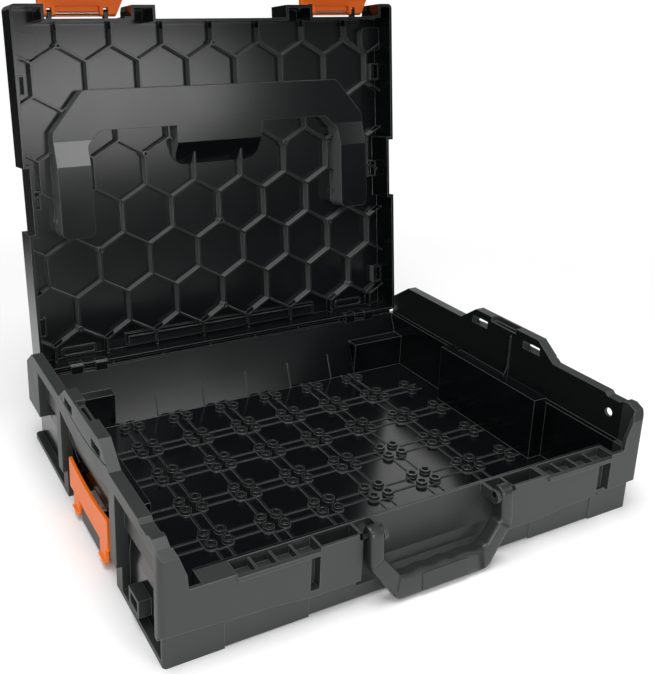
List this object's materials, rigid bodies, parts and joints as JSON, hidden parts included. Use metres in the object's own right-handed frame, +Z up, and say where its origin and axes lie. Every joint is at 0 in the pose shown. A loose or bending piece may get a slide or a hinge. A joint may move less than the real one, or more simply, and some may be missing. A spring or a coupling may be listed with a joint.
{
  "type": "hard tool case",
  "caption": "Open hard plastic tool case with a honeycomb-ribbed hinged lid, draw latches, two folding handles, side levers and a floor of hollow pegs.",
  "frame": {"origin": "centre of the foot's underside, on the ground", "axes": "+X to the right seen from the front, +Y to the rear where the lid hinges, +Z up"},
  "size_m": [0.442, 0.4352, 0.4245],
  "materials": {
    "shell_plastic": "satin, fine moulded grain",
    "handle_plastic": "satin",
    "insert_plastic": "satin",
    "accent_plastic": "satin orange",
    "steel": "bright drawn wire"
  },
  "bodies": {
    "base": {"base_shell": "shell_plastic", "hinge_pin_left": "steel", "hinge_pin_right": "steel", "front_handle_pin_left": "steel", "front_handle_pin_right": "steel", "lever_pin_left": "steel", "lever_pin_right": "steel", "lever_spring_left": "steel", "lever_spring_right": "steel"},
    "lid": {"lid_shell": "shell_plastic", "latch_pin_left": "steel", "latch_pin_right": "steel", "lid_handle_pin_left": "steel", "lid_handle_pin_right": "steel"},
    "latch_left": {"latch_left": "accent_plastic"},
    "latch_right": {"latch_right": "accent_plastic"},
    "front_handle": {"front_handle": "handle_plastic", "front_handle_insert": "insert_plastic"},
    "lid_handle": {"lid_handle": "handle_plastic"},
    "side_lever_left": {"side_lever_left": "accent_plastic"},
    "side_lever_right": {"side_lever_right": "accent_plastic"}
  },
  "joints": [
    {"name": "lid_hinge", "type": "hinge", "parent": "base", "child": "lid", "pos_m": [0, 0.175, 0.0662], "axis": [1, 0, 0], "range_deg": [0, 97]},
    {"name": "latch_left_pivot", "type": "hinge", "parent": "lid", "child": "latch_left", "pos_m": [0, 0.23852, 0.40216], "axis": [1, 0, 0], "range_deg": [-80, 3]},
    {"name": "latch_right_pivot", "type": "hinge", "parent": "lid", "child": "latch_right", "pos_m": [0, 0.23852, 0.40216], "axis": [1, 0, 0], "range_deg": [-80, 3]},
    {"name": "lid_handle_pivot", "type": "hinge", "parent": "lid", "child": "lid_handle", "pos_m": [0, 0.21258, 0.20566], "axis": [1, 0, 0], "range_deg": [-90, 0]},
    {"name": "front_handle_pivot", "type": "hinge", "parent": "base", "child": "front_handle", "pos_m": [0.0055, -0.177, 0.059], "axis": [1, 0, 0], "range_deg": [-100, 0]},
    {"name": "side_lever_left_pivot", "type": "hinge", "parent": "base", "child": "side_lever_left", "pos_m": [-0.2115, -0.011, 0.024], "axis": [0, -1, 0], "range_deg": [0, 15], "stiffness_Nm_per_rad": 0.05, "springref_deg": -28.65},
    {"name": "side_lever_right_pivot", "type": "hinge", "parent": "base", "child": "side_lever_right", "pos_m": [0.2115, -0.011, 0.024], "axis": [0, 1, 0], "range_deg": [0, 15], "stiffness_Nm_per_rad": 0.05, "springref_deg": -28.65}
  ]
}
